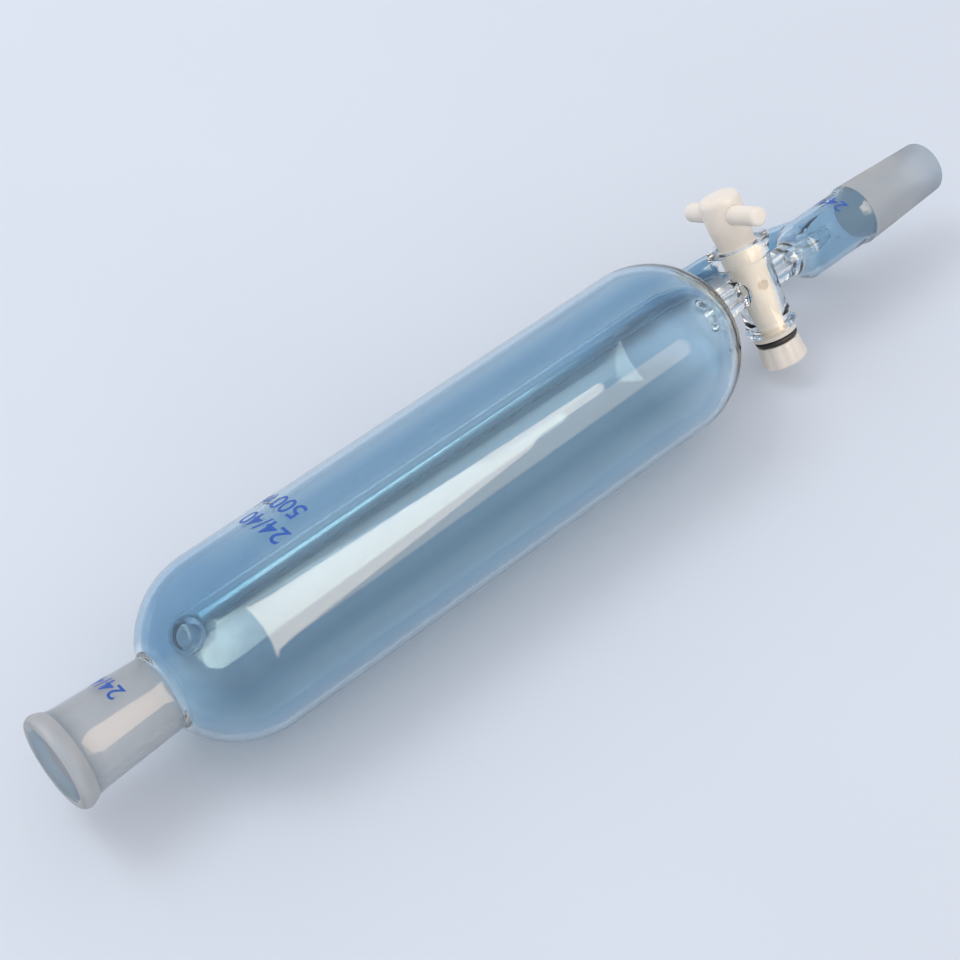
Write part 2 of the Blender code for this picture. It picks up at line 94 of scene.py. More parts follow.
def eased(points, cut, steps=5):
    # Each inner corner becomes a quadratic curve that starts and ends a little way from it
    given = np.array(points, float)
    line = [given[:1]]
    share = np.linspace(0, 1, steps + 1)[:, None]
    for before, corner, after in zip(given[:-2], given[1:-1], given[2:]):
        lengths = np.linalg.norm(before - corner), np.linalg.norm(after - corner)
        reach = min(cut, 0.45 * lengths[0], 0.45 * lengths[1])
        start = corner + (before - corner) * reach / lengths[0]
        end = corner + (after - corner) * reach / lengths[1]
        line.append((1 - share) ** 2 * start + 2 * share * (1 - share) * corner + share ** 2 * end)
    line.append(given[-1:])
    return np.vstack(line)


def straight(start, end, steps):
    share = np.linspace(0, 1, steps + 1)[:, None]
    return np.array(start, float) * (1 - share) + np.array(end, float) * share


def dome(centre, depth, radius, startAngle, endAngle, steps):
    # A quarter ellipse about the axis: place = centre + depth sin(angle), radius = radius cos(angle)
    angle = np.radians(np.linspace(startAngle, endAngle, steps + 1))
    return np.stack([centre + depth * np.sin(angle), radius * np.cos(angle)], 1)


def bend(start, corner, end, steps):
    share = np.linspace(0, 1, steps + 1)[:, None]
    start, corner, end = (np.array(point, float) for point in (start, corner, end))
    return (1 - share) ** 2 * start + 2 * share * (1 - share) * corner + share ** 2 * end


def joined(*parts):
    # Parts end to end, without the points that two neighbours share
    line = np.vstack(parts)
    keep = np.append(True, np.linalg.norm(np.diff(line, axis=0), axis=1) > 0.001)
    return line[keep]


# Surfaces

def step(start, end, value):
    share = np.clip((value - start) / (end - start), 0, 1)
    return share ** 2 * (3 - 2 * share)


def turnedRows(profile, origin, axis, side, steps):
    # Each profile point goes round the axis: origin + place axis + radius (cos side + sin across)
    across = np.cross(axis, side)
    turn = np.linspace(0, 2 * math.pi, steps, endpoint=False)
    ring = np.cos(turn)[:, None] * side + np.sin(turn)[:, None] * across
    return origin + mm * (profile[:, 0, None, None] * axis + profile[:, 1, None, None] * ring)


def skin(name, rows, firstPole=None, lastPole=None, loop=False):
    # A grid of rows, each closed on itself, with a pole at either end or the last row sewn to the first
    count, around = rows.shape[:2]
    index = np.arange(count * around).reshape(count, around)
    here = index if loop else index[:-1]
    there = np.roll(index, -1, 0) if loop else index[1:]
    quads = np.stack([here, np.roll(here, -1, 1), np.roll(there, -1, 1), there], -1).reshape(-1, 4)
    faces = quads.tolist()
    points = rows.reshape(-1, 3)
    for pole, row in ((firstPole, index[0]), (lastPole, index[-1])):
        if pole is not None:
            hub = np.full(around, len(points))
            faces += np.stack([row, np.roll(row, -1), hub], 1).tolist()
            points = np.vstack([points, pole])
    mesh = bpy.data.meshes.new(name)
    mesh.from_pydata(points.tolist(), [], faces)
    shape = bmesh.new()
    shape.from_mesh(mesh)
    bmesh.ops.recalc_face_normals(shape, faces=shape.faces)
    shape.to_mesh(mesh)
    shape.free()
    mesh.shade_smooth()
    piece = bpy.data.objects.new(name, mesh)
    bpy.context.scene.collection.objects.link(piece)
    return piece


def turned(name, profile, origin, axis, side, steps):
    # A turned solid whose ends are closed on the axis
    rows = turnedRows(profile, origin, axis, side, steps)
    return skin(name, rows, origin + mm * profile[0, 0] * axis, origin + mm * profile[-1, 0] * axis)


def turnedLoop(name, profile, origin, axis, side, steps):
    return skin(name, turnedRows(profile, origin, axis, side, steps), loop=True)


def combine(piece, others, operation):
    for other in others:
        change = piece.modifiers.new(other.name, 'BOOLEAN')
        change.operation = operation
        change.solver = 'EXACT'
        change.object = other


def settle(piece, helpers, sharpDegrees):
    # The modifiers' result becomes the piece's own mesh, and the helper solids go
    graph = bpy.context.evaluated_depsgraph_get()
    mesh = bpy.data.meshes.new_from_object(piece.evaluated_get(graph))
    old = piece.data
    piece.modifiers.clear()
    piece.data = mesh
    bpy.data.meshes.remove(old)
    for helper in helpers:
        shape = helper.data
        bpy.data.objects.remove(helper, do_unlink=True)
        bpy.data.meshes.remove(shape)
    mesh.shade_smooth()
    mesh.set_sharp_from_angle(angle=math.radians(sharpDegrees))


weldValues = {"farthest": 60.0, "sunk": 0.04, "closed": 1.2, "halvings": 40, "steps": 8}


def meet(starts, direction, outside):
    # How far each point goes before it is inside the target, found by halving
    near = np.zeros(len(starts))
    far = np.full(len(starts), weldValues["farthest"] * mm)
    for _ in range(weldValues["halvings"]):
        middle = (near + far) / 2
        out = outside(starts + middle[:, None] * direction) > 0
        near = np.where(out, middle, near)
        far = np.where(out, far, middle)
    return near


def weldRows(ring, centre, direction, outside, run, spread):
    # The fillet of a fused tube: a quadratic curve from its wall to the target's skin, with its corner
    # where they would meet, sunk a hair below the skin and closed by a smaller ring inside the target
    away = ring - centre
    away -= (away @ direction)[:, None] * direction
    away /= np.linalg.norm(away, axis=1)[:, None]
    reach = meet(ring, direction, outside)
    corner = ring + reach[:, None] * direction
    start = corner - run * mm * direction
    wide = ring + spread * mm * away
    foot = wide + (meet(wide, direction, outside)[:, None] + weldValues["sunk"] * mm) * direction
    share = np.linspace(0, 1, weldValues["steps"] + 1)[:, None, None]
    curve = (1 - share) ** 2 * start + 2 * share * (1 - share) * corner + share ** 2 * foot
    inside = ring + (reach.max() + weldValues["closed"] * mm) * direction
    return np.concatenate([curve, inside[None]])


def radiusOutside(profile, origin, axis):
    # A test for points: distance from the axis less the profile's radius there
    order = np.argsort(profile[:, 0], kind="stable")
    places, radii = profile[order, 0], profile[order, 1]

    def outside(points):
        offset = (points - origin) / mm
        place = offset @ axis
        distance = np.linalg.norm(offset - place[:, None] * axis, axis=1)
        return distance - np.interp(place, places, radii)

    return outside


# Glass body

vesselValues = {"radius": 32.5, "wall": 2.2, "base": 29.7, "upperCentre": 70.70, "lowerCentre": 256.5,
                "steps": 128}
socketValues = {"largeBore": 12.1, "taper": 0.05, "tube": 15.0, "neck": 13.2, "neckStation": 41.0}
armValues = {"radius": 5.7, "flow": 2.0, "weld": (2.4, 2.0), "steps": 96}
coneValues = {"shoulder": 327.3, "full": 335.5, "tube": 11.2, "bore": 9.4, "start": 364.5, "end": 404.5,
              "wall": 1.8, "large": 12.1, "small": 10.2}
dripValues = {"slantDegrees": 30.0, "slantStart": 344.0, "tip": 350.0, "steps": 64}
sideArmValues = {"radius": 4.75, "bore": 3.4, "distance": 45.0, "upperPort": 66.5, "upperBend": 10.0,
                 "lowerBend": 15.0, "lowerPort": 352.6, "slope": 53.0, "flare": 1.30, "ease": 11.0,
                 "weld": (1.9, 2.6), "boreWeld": (1.8, 1.9), "steps": 56, "boreSteps": 48}


def socketOutside():
    # The rolled bead, the tube and the pinched neck, up to where the fillet meets the upper dome
    wide, neck = socketValues["tube"], socketValues["neckStation"]
    bead = smooth([(0.0, 14.3), (0.12, 15.3), (0.75, 16.35), (2.7, 17.0), (4.9, 16.4), (6.9, 15.45),
                   (9.0, wide)])
    tube = straight((9.0, wide), (neck - 1.6, socketValues["neck"] + 0.09), 10)
    middle, radius = vesselValues["upperCentre"], vesselValues["radius"]
    shoulder = neck + 0.9
    meeting = (shoulder, math.sqrt(radius ** 2 - (middle - shoulder) ** 2))
    return joined(bead, tube, bend(tube[-1], (neck, socketValues["neck"]), meeting, 6))


def vesselOutside():
    radius, upper, lower = (vesselValues[key] for key in ("radius", "upperCentre", "lowerCentre"))
    socket = socketOutside()
    startAngle = -math.degrees(math.acos(socket[-1, 1] / radius))
    upperDome = dome(upper, radius, radius, startAngle, 0, 22)
    body = straight((upper, radius), (lower, radius), 24)
    lowerDome = dome(lower, radius, radius, 0, math.degrees(math.acos(8.6 / radius)), 24)
    arm = armValues["radius"]
    corner = lower + math.sqrt(radius ** 2 - arm ** 2)
    fillet = bend(lowerDome[-1], (corner, arm + 0.25), (corner + 4.5, arm), 8)
    inletArm = straight((corner + 4.5, arm), (tapStation - 12.5, arm + 0.15), 3)
    return joined(socket, upperDome, body, lowerDome, fillet, inletArm)


def vesselInside():
    radius = vesselValues["radius"] - vesselValues["wall"]
    upper, lower = vesselValues["upperCentre"], vesselValues["lowerCentre"]
    large, taper = socketValues["largeBore"], socketValues["taper"]
    lip = smooth([(-1.0, 14.6), (0.0, 13.95), (0.55, 13.0), (1.6, 12.45), (3.6, large - 3.6 * taper)])
    neckEnd = socketValues["neckStation"] + 0.2
    neckBore = large - taper * neckEnd
    bore = straight(lip[-1], (neckEnd, neckBore), 12)
    corner = (upper - math.sqrt(radius ** 2 - neckBore ** 2), neckBore)
    opened = corner[0] + 1.1
    shoulder = (opened, math.sqrt(radius ** 2 - (upper - opened) ** 2))
    neckFillet = bend(bore[-1], corner, shoulder, 6)
    upperDome = dome(upper, radius, radius, -math.degrees(math.acos(shoulder[1] / radius)), 0, 22)
    body = straight((upper, radius), (lower, radius), 24)
    lowerDome = dome(lower, vesselValues["base"], radius, 0, 80, 24)
    flow = armValues["flow"]
    drain = smooth([lowerDome[-1], (287.1, 3.4), (288.9, 2.7), (292.6, 2.3), (298.0, flow)])
    inletBore = straight(drain[-1], (tapStation - 4.0, flow), 2)
    return joined(lip, bore, neckFillet, upperDome, body, lowerDome, drain, inletBore)


def barrelOutside():
    return smooth([(16.5, 11.2), (16.35, 11.95), (15.6, 12.4), (14.6, 12.2), (12.6, 11.1), (9.8, 10.05),
                   (6.0, 9.5), (0.0, 9.2), (-8.0, 8.75), (-12.0, 8.8), (-14.6, 9.2), (-16.9, 9.85),
                   (-18.0, 10.0), (-18.8, 9.6), (-19.0, 8.9)])


def barrelInside():
    return eased([(17.6, 9.9), (16.2, 8.35), (15.4, 7.78), (9.9, 7.74), (9.3, 7.42), (-18.4, 5.34),
                  (-20.0, 6.2)], 0.5)


def coneOutside():
    shoulder, full, start, end = (coneValues[key] for key in ("shoulder", "full", "start", "end"))
    large, small, wide = coneValues["large"], coneValues["small"], coneValues["tube"]
    outletArm = straight((tapStation + 12.5, 6.0), (shoulder - 1.2, 6.1), 2)
    crown = smooth([(shoulder - 1.2, 6.1), (shoulder + 1.0, 6.45), (shoulder + 3.2, 7.9),
                    (shoulder + 5.2, 9.85), (full - 0.8, 11.0), (full + 1.2, wide)])
    tube = straight((full + 1.2, wide), (start - 4.2, wide), 6)
    swell = smooth([(start - 4.2, wide), (start - 2.2, 11.55), (start - 0.5, 12.05),
                    (start + 0.4, large - 0.02)])
    ground = straight((start + 0.4, large - 0.02), (end - 0.9, small + 0.03), 12)
    tip = smooth([(end - 0.9, small + 0.03), (end - 0.35, small - 0.1), (end, small - 0.55)], 4)
    return joined(outletArm, crown, tube, swell, ground, tip)


def chamberInside():
    shoulder, full, start, end = (coneValues[key] for key in ("shoulder", "full", "start", "end"))
    narrow, wide = coneValues["small"] - coneValues["wall"], coneValues["bore"]
    top = smooth([(shoulder + 3.0, 4.6), (shoulder + 4.2, 6.6), (shoulder + 6.4, 8.5), (full + 0.6, 9.25),
                  (full + 2.6, wide)])
    tube = straight((full + 2.6, wide), (start - 3.0, wide), 6)
    swell = smooth([(start - 3.0, wide), (start - 1.0, 9.8), (start + 1.0, 10.25)])
    bore = straight((start + 1.0, 10.25), (end - 0.5, narrow + 0.1), 10)
    tip = straight((end - 0.5, narrow + 0.1), (end + 1.0, narrow + 1.2), 2)
    return joined(top, tube, swell, bore, tip)


def dripOutside():
    return smooth([(328.0, 5.6), (330.4, 5.5), (332.2, 4.5), (334.4, 3.85), (338.0, 3.8), (342.0, 3.8),
                   (346.0, 3.4), (dripValues["tip"], 2.9)])


def dripInside():
    return smooth([(tapStation + 4.0, 2.0), (318.0, 2.05), (326.0, 2.3), (331.0, 2.4), (340.0, 2.4),
                   (344.0, 2.15), (dripValues["tip"], 1.5), (dripValues["tip"] + 3.5, 1.5)])


def sideArmPath():
    # In the plane of the funnel's axis and the side arm: out of the shoulder, a quarter turn, along
    # the body, and an arc into the slanting run that enters the drip chamber
    slope = math.radians(sideArmValues["slope"])
    distance, port = sideArmValues["distance"], sideArmValues["upperPort"]
    upper, lower = sideArmValues["upperBend"], sideArmValues["lowerBend"]
    corner = sideArmValues["lowerPort"] - (distance - coneValues["tube"]) / math.tan(slope)
    tangent = lower * math.tan(slope / 2)
    turn = np.linspace(0, math.pi / 2, 17)
    first = np.stack([port + upper * (1 - np.cos(turn)), distance - upper * (1 - np.sin(turn))], 1)
    tilt = np.linspace(0, slope, 13)
    second = np.stack([corner - tangent + lower * np.sin(tilt), distance - lower * (1 - np.cos(tilt))], 1)
    run = straight(first[-1], second[0], 30)
    last = (second[-1, 0] + 5.0 / math.tan(slope), second[-1, 1] - 5.0)
    return joined(first, run, second, straight(second[-1], last, 4))


def sideArm(name, radius, vesselTest, chamberTest, weld, steps):
    # A ring of the tube's radius at each point of the path, wider towards both ends by a smooth step, and a
    # fillet at each port
    path = sideArmPath()
    centres = mouth + mm * (path[:, :1] * alongFunnel + path[:, 1:] * toSideArm)
    heading = np.gradient(centres, axis=0)
    heading[0] = toSideArm
    heading /= np.linalg.norm(heading, axis=1)[:, None]
    lengths = np.append(0, np.cumsum(np.linalg.norm(np.diff(path, axis=0), axis=1)))
    toEnd = np.minimum(lengths, lengths[-1] - lengths)
    radii = radius * (1 + (sideArmValues["flare"] - 1) * (1 - step(0, sideArmValues["ease"], toEnd)))
    turn = np.linspace(0, 2 * math.pi, steps, endpoint=False)
    across = np.cross(heading, alongPlug)
    rings = centres[:, None] + mm * radii[:, None, None] * (
        np.cos(turn)[None, :, None] * alongPlug + np.sin(turn)[None, :, None] * across[:, None])
    upperWeld = weldRows(rings[0], centres[0], -heading[0], vesselTest, *weld)
    lowerWeld = weldRows(rings[-1], centres[-1], heading[-1], chamberTest, *weld)
    rows = np.concatenate([upperWeld[::-1], rings[1:-1], lowerWeld])
    return skin(name, rows, upperWeld[-1].mean(0), lowerWeld[-1].mean(0))


def vesselSolid(barrelTest):
    # Socket, vessel and inlet arm in one turned skin, with the arm fused to the barrel
    profile = vesselOutside()
    rows = turnedRows(profile, mouth, alongFunnel, alongPlug, vesselValues["steps"])
    armCentre = mouth + mm * profile[-1, 0] * alongFunnel
    weld = weldRows(rows[-1], armCentre, alongFunnel, barrelTest, *armValues["weld"])
    return skin("glassBody", np.concatenate([rows[:-1], weld]), mouth, weld[-1].mean(0))


def coneSolid(barrelTest):
    # Outlet arm, drip chamber and cone in one turned skin, with the arm fused to the barrel
    profile = coneOutside()
    rows = turnedRows(profile, mouth, alongFunnel, alongPlug, armValues["steps"])
    armCentre = mouth + mm * profile[0, 0] * alongFunnel
    weld = weldRows(rows[0], armCentre, -alongFunnel, barrelTest, *armValues["weld"])
    tip = mouth + mm * profile[-1, 0] * alongFunnel
    return skin("lowerBody", np.concatenate([weld[::-1], rows[1:]]), weld[-1].mean(0), tip)


def dripTubeSolid():
    # The tip is sheared: a point moves along the funnel by its reach towards the side arm times the
    # slant's tangent
    profile = dripOutside()
    rows = turnedRows(profile, mouth, alongFunnel, alongPlug, dripValues["steps"])
    slant = math.tan(math.radians(dripValues["slantDegrees"]))
    share = slant * step(dripValues["slantStart"], dripValues["tip"], profile[:, 0])
    rows += (share[:, None] * ((rows - mouth) @ toSideArm))[..., None] * alongFunnel
    return skin("dripTube", rows, mouth + mm * profile[0, 0] * alongFunnel, rows[-1].mean(0))


def glassBody():
    arms = armValues["steps"]
    barrelTest = radiusOutside(barrelOutside(), stopcock, alongPlug)
    body = vesselSolid(barrelTest)
    lowerBody = coneSolid(barrelTest)
    barrel = turned("barrel", barrelOutside(), stopcock, alongPlug, alongFunnel, arms)
    vesselTest = radiusOutside(vesselOutside(), mouth, alongFunnel)
    chamberTest = radiusOutside(coneOutside(), mouth, alongFunnel)
    arm = sideArm("sideArmOutside", sideArmValues["radius"], vesselTest, chamberTest, sideArmValues["weld"],
                  sideArmValues["steps"])
    print("outer glass laid out")

    cavity = vesselInside()
    chamber = chamberInside()
    cavityTest = radiusOutside(cavity, mouth, alongFunnel)
    chamberCavityTest = radiusOutside(chamber, mouth, alongFunnel)
    cavitySolid = turned("vesselCavity", cavity, mouth, alongFunnel, alongPlug, vesselValues["steps"])
    barrelBore = turned("barrelBore", barrelInside(), stopcock, alongPlug, alongFunnel, arms)
    chamberSolid = turned("chamberCavity", chamber, mouth, alongFunnel, alongPlug, arms)
    armBore = sideArm("sideArmBore", sideArmValues["bore"], cavityTest, chamberCavityTest,
                      sideArmValues["boreWeld"], sideArmValues["boreSteps"])
    dripTube = dripTubeSolid()
    dripBore = turned("dripBore", dripInside(), mouth, alongFunnel, alongPlug, dripValues["steps"])
    combine(body, [lowerBody, barrel, arm], 'UNION')
    combine(body, [cavitySolid, barrelBore, chamberSolid, armBore], 'DIFFERENCE')
    combine(body, [dripTube], 'UNION')
    combine(body, [dripBore], 'DIFFERENCE')
    helpers = [lowerBody, barrel, arm, cavitySolid, barrelBore, chamberSolid, armBore, dripTube, dripBore]
    settle(body, helpers, 38)
    print("glass fused:", len(body.data.polygons), "faces")
    return body


# Materials

def shaderOf(name):
    material = bpy.data.materials.new(name)
    material.use_nodes = True
    nodes = material.node_tree.nodes
    return material, nodes, material.node_tree.links, nodes["Principled BSDF"]


def stretchedNoise(nodes, links, scale, stretch, detail=3.0):
    # Noise in the piece's own coordinates, stretched by a different amount along each side
    place = nodes.new("ShaderNodeTexCoord")
    mapping = nodes.new("ShaderNodeMapping")
    mapping.inputs["Scale"].default_value = stretch
    noise = nodes.new("ShaderNodeTexNoise")
    noise.inputs["Scale"].default_value = scale
    noise.inputs["Detail"].default_value = detail
    links.new(place.outputs["Object"], mapping.inputs["Vector"])
    links.new(mapping.outputs["Vector"], noise.inputs["Vector"])
    return noise


def ramp(nodes, links, source, stops):
    blend = nodes.new("ShaderNodeValToRGB")
    elements = blend.color_ramp.elements
    elements[0].position, elements[0].color = stops[0][0], (*stops[0][1], 1)
    elements[1].position, elements[1].color = stops[-1][0], (*stops[-1][1], 1)
    for place, colour in stops[1:-1]:
        element = elements.new(place)
        element.color = (*colour, 1)
    links.new(source, blend.inputs["Fac"])
    return blend


def bumped(nodes, links, source, shader, strength, distance):
    bump = nodes.new("ShaderNodeBump")
    bump.inputs["Strength"].default_value = strength
    bump.inputs["Distance"].default_value = distance
    links.new(source, bump.inputs["Height"])
    links.new(bump.outputs["Normal"], shader.inputs["Normal"])
    return bump


def mapped(nodes, links, source, low, high):
    span = nodes.new("ShaderNodeMapRange")
    span.inputs["To Min"].default_value = low
    span.inputs["To Max"].default_value = high
    links.new(source, span.inputs["Value"])
    return span


def blended(nodes, links, share, first, second):
    blend = nodes.new("ShaderNodeMix")
    blend.data_type = 'RGBA'
    links.new(share, blend.inputs["Factor"])
    links.new(first, blend.inputs["A"])
    links.new(second, blend.inputs["B"])
    return blend.outputs["Result"]


def attributed(nodes, name):
    share = nodes.new("ShaderNodeAttribute")
    share.attribute_name = name
    return share.outputs["Fac"]


# The blue tones stand in for a bluish surrounding reflected in the glass: painted reflection
clearValues = {"pale": (0.92, 0.955, 0.965), "light": (0.74, 0.90, 0.995), "blue": (0.60, 0.75, 0.845),
               "deep": (0.46, 0.65, 0.79), "ior": 1.47, "gleamIor": 2.2, "roughness": (0.0, 0.03),
               "smearScale": 60, "waveScale": 45, "waviness": (0.05, 0.55), "waveHeight": 0.0006}


def clearGlass():
    # The piece's own tint attribute sets the tint, from nearly colourless thick glass to the blue walls, and
    # carries painted light and shade; its "gleam" is a second reflection, and its "worked" the waves where the
    # flame softened it.
    # The blue stands in for a bluish surrounding reflected in the glass: a painted reflection
    material, nodes, links, shader = shaderOf("clearGlass")
    stops = [(0.0, clearValues["pale"]), (0.5, clearValues["light"]), (0.85, clearValues["blue"]),
             (1.0, clearValues["deep"])]
    tint = ramp(nodes, links, attributed(nodes, "tintAndPaintedLight"), stops)
    links.new(tint.outputs["Color"], shader.inputs["Base Color"])
    shader.inputs["Transmission Weight"].default_value = 1.0
    shader.inputs["IOR"].default_value = clearValues["ior"]
    links.new(attributed(nodes, "gleam"), shader.inputs["Coat Weight"])
    shader.inputs["Coat IOR"].default_value = clearValues["gleamIor"]
    smear = stretchedNoise(nodes, links, clearValues["smearScale"], (0.5, 1, 1))
    gloss = mapped(nodes, links, smear.outputs["Fac"], *clearValues["roughness"])
    links.new(gloss.outputs["Result"], shader.inputs["Roughness"])
    wave = stretchedNoise(nodes, links, clearValues["waveScale"], (0.12, 1, 1), 1.0)
    calm, worked = clearValues["waviness"]
    bump = bumped(nodes, links, wave.outputs["Fac"], shader, calm, clearValues["waveHeight"])
    strength = mapped(nodes, links, attributed(nodes, "worked"), calm, worked)
    links.new(strength.outputs["Result"], bump.inputs["Strength"])
    return material


groundValues = {"outside": (0.66, 0.665, 0.67), "inBore": (0.80, 0.83, 0.87), "shaded": (0.44, 0.48, 0.53),
                "darker": 0.93, "ior": 1.47, "transmission": 0.55, "roughness": (0.42, 0.58),
                "cloudScale": 120, "grainScale": 2600, "grain": 0.12, "grainHeight": 0.0003}


def groundGlass():
    # A cloudy tone for the outside, a lighter one in the socket's bore and a darker one where it is shaded
    material, nodes, links, shader = shaderOf("groundGlass")
    cloud = stretchedNoise(nodes, links, groundValues["cloudScale"], (1, 1, 1))
    tones = {}
    for key in ("outside", "inBore", "shaded"):
        low = tuple(channel * groundValues["darker"] for channel in groundValues[key])
        tone = ramp(nodes, links, cloud.outputs["Fac"], [(0.3, low), (0.7, groundValues[key])])
        tones[key] = tone.outputs["Color"]
    colour = tones["outside"]
    for key in ("inBore", "shaded"):
        colour = blended(nodes, links, attributed(nodes, key), colour, tones[key])
    links.new(colour, shader.inputs["Base Color"])
    rough = mapped(nodes, links, cloud.outputs["Fac"], *groundValues["roughness"])
    links.new(rough.outputs["Result"], shader.inputs["Roughness"])
    shader.inputs["Transmission Weight"].default_value = groundValues["transmission"]
    shader.inputs["IOR"].default_value = groundValues["ior"]
    grain = stretchedNoise(nodes, links, groundValues["grainScale"], (1.6, 1, 1), 2.0)
    bumped(nodes, links, grain.outputs["Fac"], shader, groundValues["grain"], groundValues["grainHeight"])
    return material


ptfeValues = {"light": (0.88, 0.80, 0.71), "dark": (0.83, 0.75, 0.655), "roughness": (0.36, 0.5),
              "cloudScale": 90, "ringScale": 2600, "rings": 0.10, "ringHeight": 0.0002,
              "glow": 0.17, "glowTop": 16.0, "glowFade": 1.5, "softness": 0.12,
              "softnessRadius": (0.0012, 0.0010, 0.0008)}


def ptfe(name, axis, glowing=False):
    # Turned plastic: faint rings about the given axis, a cloudy tone and a soft surface. The plug's shank,
    # below the barrel's rim, has a faint glow for the light that reaches it through the glass
    material, nodes, links, shader = shaderOf(name)
    cloud = stretchedNoise(nodes, links, ptfeValues["cloudScale"], (1, 1, 1))
    tone = ramp(nodes, links, cloud.outputs["Fac"], [(0.3, ptfeValues["dark"]), (0.62, ptfeValues["light"])])
    links.new(tone.outputs["Color"], shader.inputs["Base Color"])
    rough = mapped(nodes, links, cloud.outputs["Fac"], *ptfeValues["roughness"])
    links.new(rough.outputs["Result"], shader.inputs["Roughness"])
    place = nodes.new("ShaderNodeTexCoord")
    height = nodes.new("ShaderNodeVectorMath")
    height.operation = 'DOT_PRODUCT'
    height.inputs[1].default_value = tuple(float(part) for part in axis)
    links.new(place.outputs["Object"], height.inputs[0])
    rings = nodes.new("ShaderNodeTexNoise")
    rings.noise_dimensions = '1D'
    rings.inputs["Scale"].default_value = ptfeValues["ringScale"]
    rings.inputs["Detail"].default_value = 2.0
    links.new(height.outputs["Value"], rings.inputs["W"])
    bumped(nodes, links, rings.outputs["Fac"], shader, ptfeValues["rings"], ptfeValues["ringHeight"])
    if glowing:
        glow = mapped(nodes, links, height.outputs["Value"], ptfeValues["glow"], 0.0)
        glowTop = float(stopcock @ alongPlug) + ptfeValues["glowTop"] * mm
        glow.inputs["From Min"].default_value = glowTop - ptfeValues["glowFade"] * mm
        glow.inputs["From Max"].default_value = glowTop
        links.new(tone.outputs["Color"], shader.inputs["Emission Color"])
        links.new(glow.outputs["Result"], shader.inputs["Emission Strength"])
    shader.inputs["Subsurface Weight"].default_value = ptfeValues["softness"]
    shader.inputs["Subsurface Radius"].default_value = ptfeValues["softnessRadius"]
    shader.inputs["Subsurface Scale"].default_value = 1.0
    return material


rubberValues = {"dark": (0.010, 0.009, 0.009), "light": (0.026, 0.023, 0.022), "roughness": (0.38, 0.6),
                "cloudScale": 700, "grain": 0.15, "grainHeight": 0.0002}


def rubber():
    material, nodes, links, shader = shaderOf("blackRubber")
    cloud = stretchedNoise(nodes, links, rubberValues["cloudScale"], (1, 1, 1))
    stops = [(0.3, rubberValues["dark"]), (0.7, rubberValues["light"])]
    tone = ramp(nodes, links, cloud.outputs["Fac"], stops)
    links.new(tone.outputs["Color"], shader.inputs["Base Color"])
    rough = mapped(nodes, links, cloud.outputs["Fac"], *rubberValues["roughness"])
    links.new(rough.outputs["Result"], shader.inputs["Roughness"])
    bumped(nodes, links, cloud.outputs["Fac"], shader, rubberValues["grain"], rubberValues["grainHeight"])
    return material


# Stopcock pieces

plugValues = {"turnDegrees": 100.0, "headTop": 36.3, "head": 7.9, "rounding": 3.0, "neck": 7.1,
              "collar": 7.6, "large": 7.3, "small": 5.2, "tail": 4.0, "tailEnd": -31.6, "steps": 96,
              "bore": 2.0, "boreSteps": 48, "drillReach": 14.0}
barValues = {"height": 28.3, "radius": 3.6, "length": 50.0, "rounding": 1.5, "clearance": 0.06, "steps": 64}
washerValues = {"top": -19.3, "thickness": 1.8, "radius": 8.5, "bore": 4.3, "steps": 96}
ringValues = {"top": -21.4, "thickness": 2.0, "radius": 8.15, "bore": 4.3, "rounding": 0.4, "steps": 96}
nutValues = {"top": -23.7, "bottom": -32.6, "topRadius": 7.9, "bottomRadius": 8.7, "bore": 4.3,
             "rounding": 1.3, "flutes": 10, "fluteDepth": 0.34, "steps": 120}

turnAngle = math.radians(-plugValues["turnDegrees"])
alongBar = math.cos(turnAngle) * alongFunnel + math.sin(turnAngle) * np.cross(alongPlug, alongFunnel)


def plugPiece(material):
    top, head, rounding = (plugValues[key] for key in ("headTop", "head", "rounding"))
    collar, large, small = (plugValues[key] for key in ("collar", "large", "small"))
    tail, tailEnd = plugValues["tail"], plugValues["tailEnd"]
    crown = dome(top - rounding, rounding, rounding, 90, 0, 8)
    crown[:, 1] += head - rounding
    shank = eased([(top - rounding, head), (24.0, head), (20.0, 7.4), (17.2, plugValues["neck"]),
                   (16.0, 7.15), (15.6, collar), (9.5, collar), (9.3, large), (-15.6, small + 0.20),
                   (-16.0, small + 0.02), (-16.4, small + 0.14), (-18.4, small), (-18.4, tail),
                   (tailEnd + 0.6, tail), (tailEnd, tail - 0.6)], 0.5)
    profile = joined(np.array([[top, 0.6]]), crown, shank)
    piece = turned("stopcockPlug", profile, stopcock, alongPlug, alongFunnel, plugValues["steps"])
    reach, bore = plugValues["drillReach"], plugValues["bore"]
    across = turned("plugBore", straight((-reach, bore), (reach, bore), 1), stopcock, alongBar, alongPlug,
                    plugValues["boreSteps"])
    wide = barValues["radius"] + barValues["clearance"]
    hole = turned("barHole", straight((-reach, wide), (reach, wide), 1),
                  stopcock + mm * barValues["height"] * alongPlug, alongBar, alongPlug, barValues["steps"])
    combine(piece, [across, hole], 'DIFFERENCE')
    settle(piece, [across, hole], 34)
    return dressed(piece, material, "plug", "ptfe", "stopcock_plug")


def barPiece(material):
    half, radius, rounding = barValues["length"] / 2, barValues["radius"], barValues["rounding"]
    end = dome(half - rounding, rounding, rounding, 0, 90, 7)
    end[:, 1] += radius - rounding
    other = end[::-1].copy()
    other[:, 0] *= -1
    profile = joined(other, straight((-half + rounding, radius), (half - rounding, radius), 12), end)
    centre = stopcock + mm * barValues["height"] * alongPlug
    piece = turned("handleBar", profile, centre, alongBar, alongPlug, barValues["steps"])
    return dressed(piece, material, "plug", "ptfe", "handle_bar")


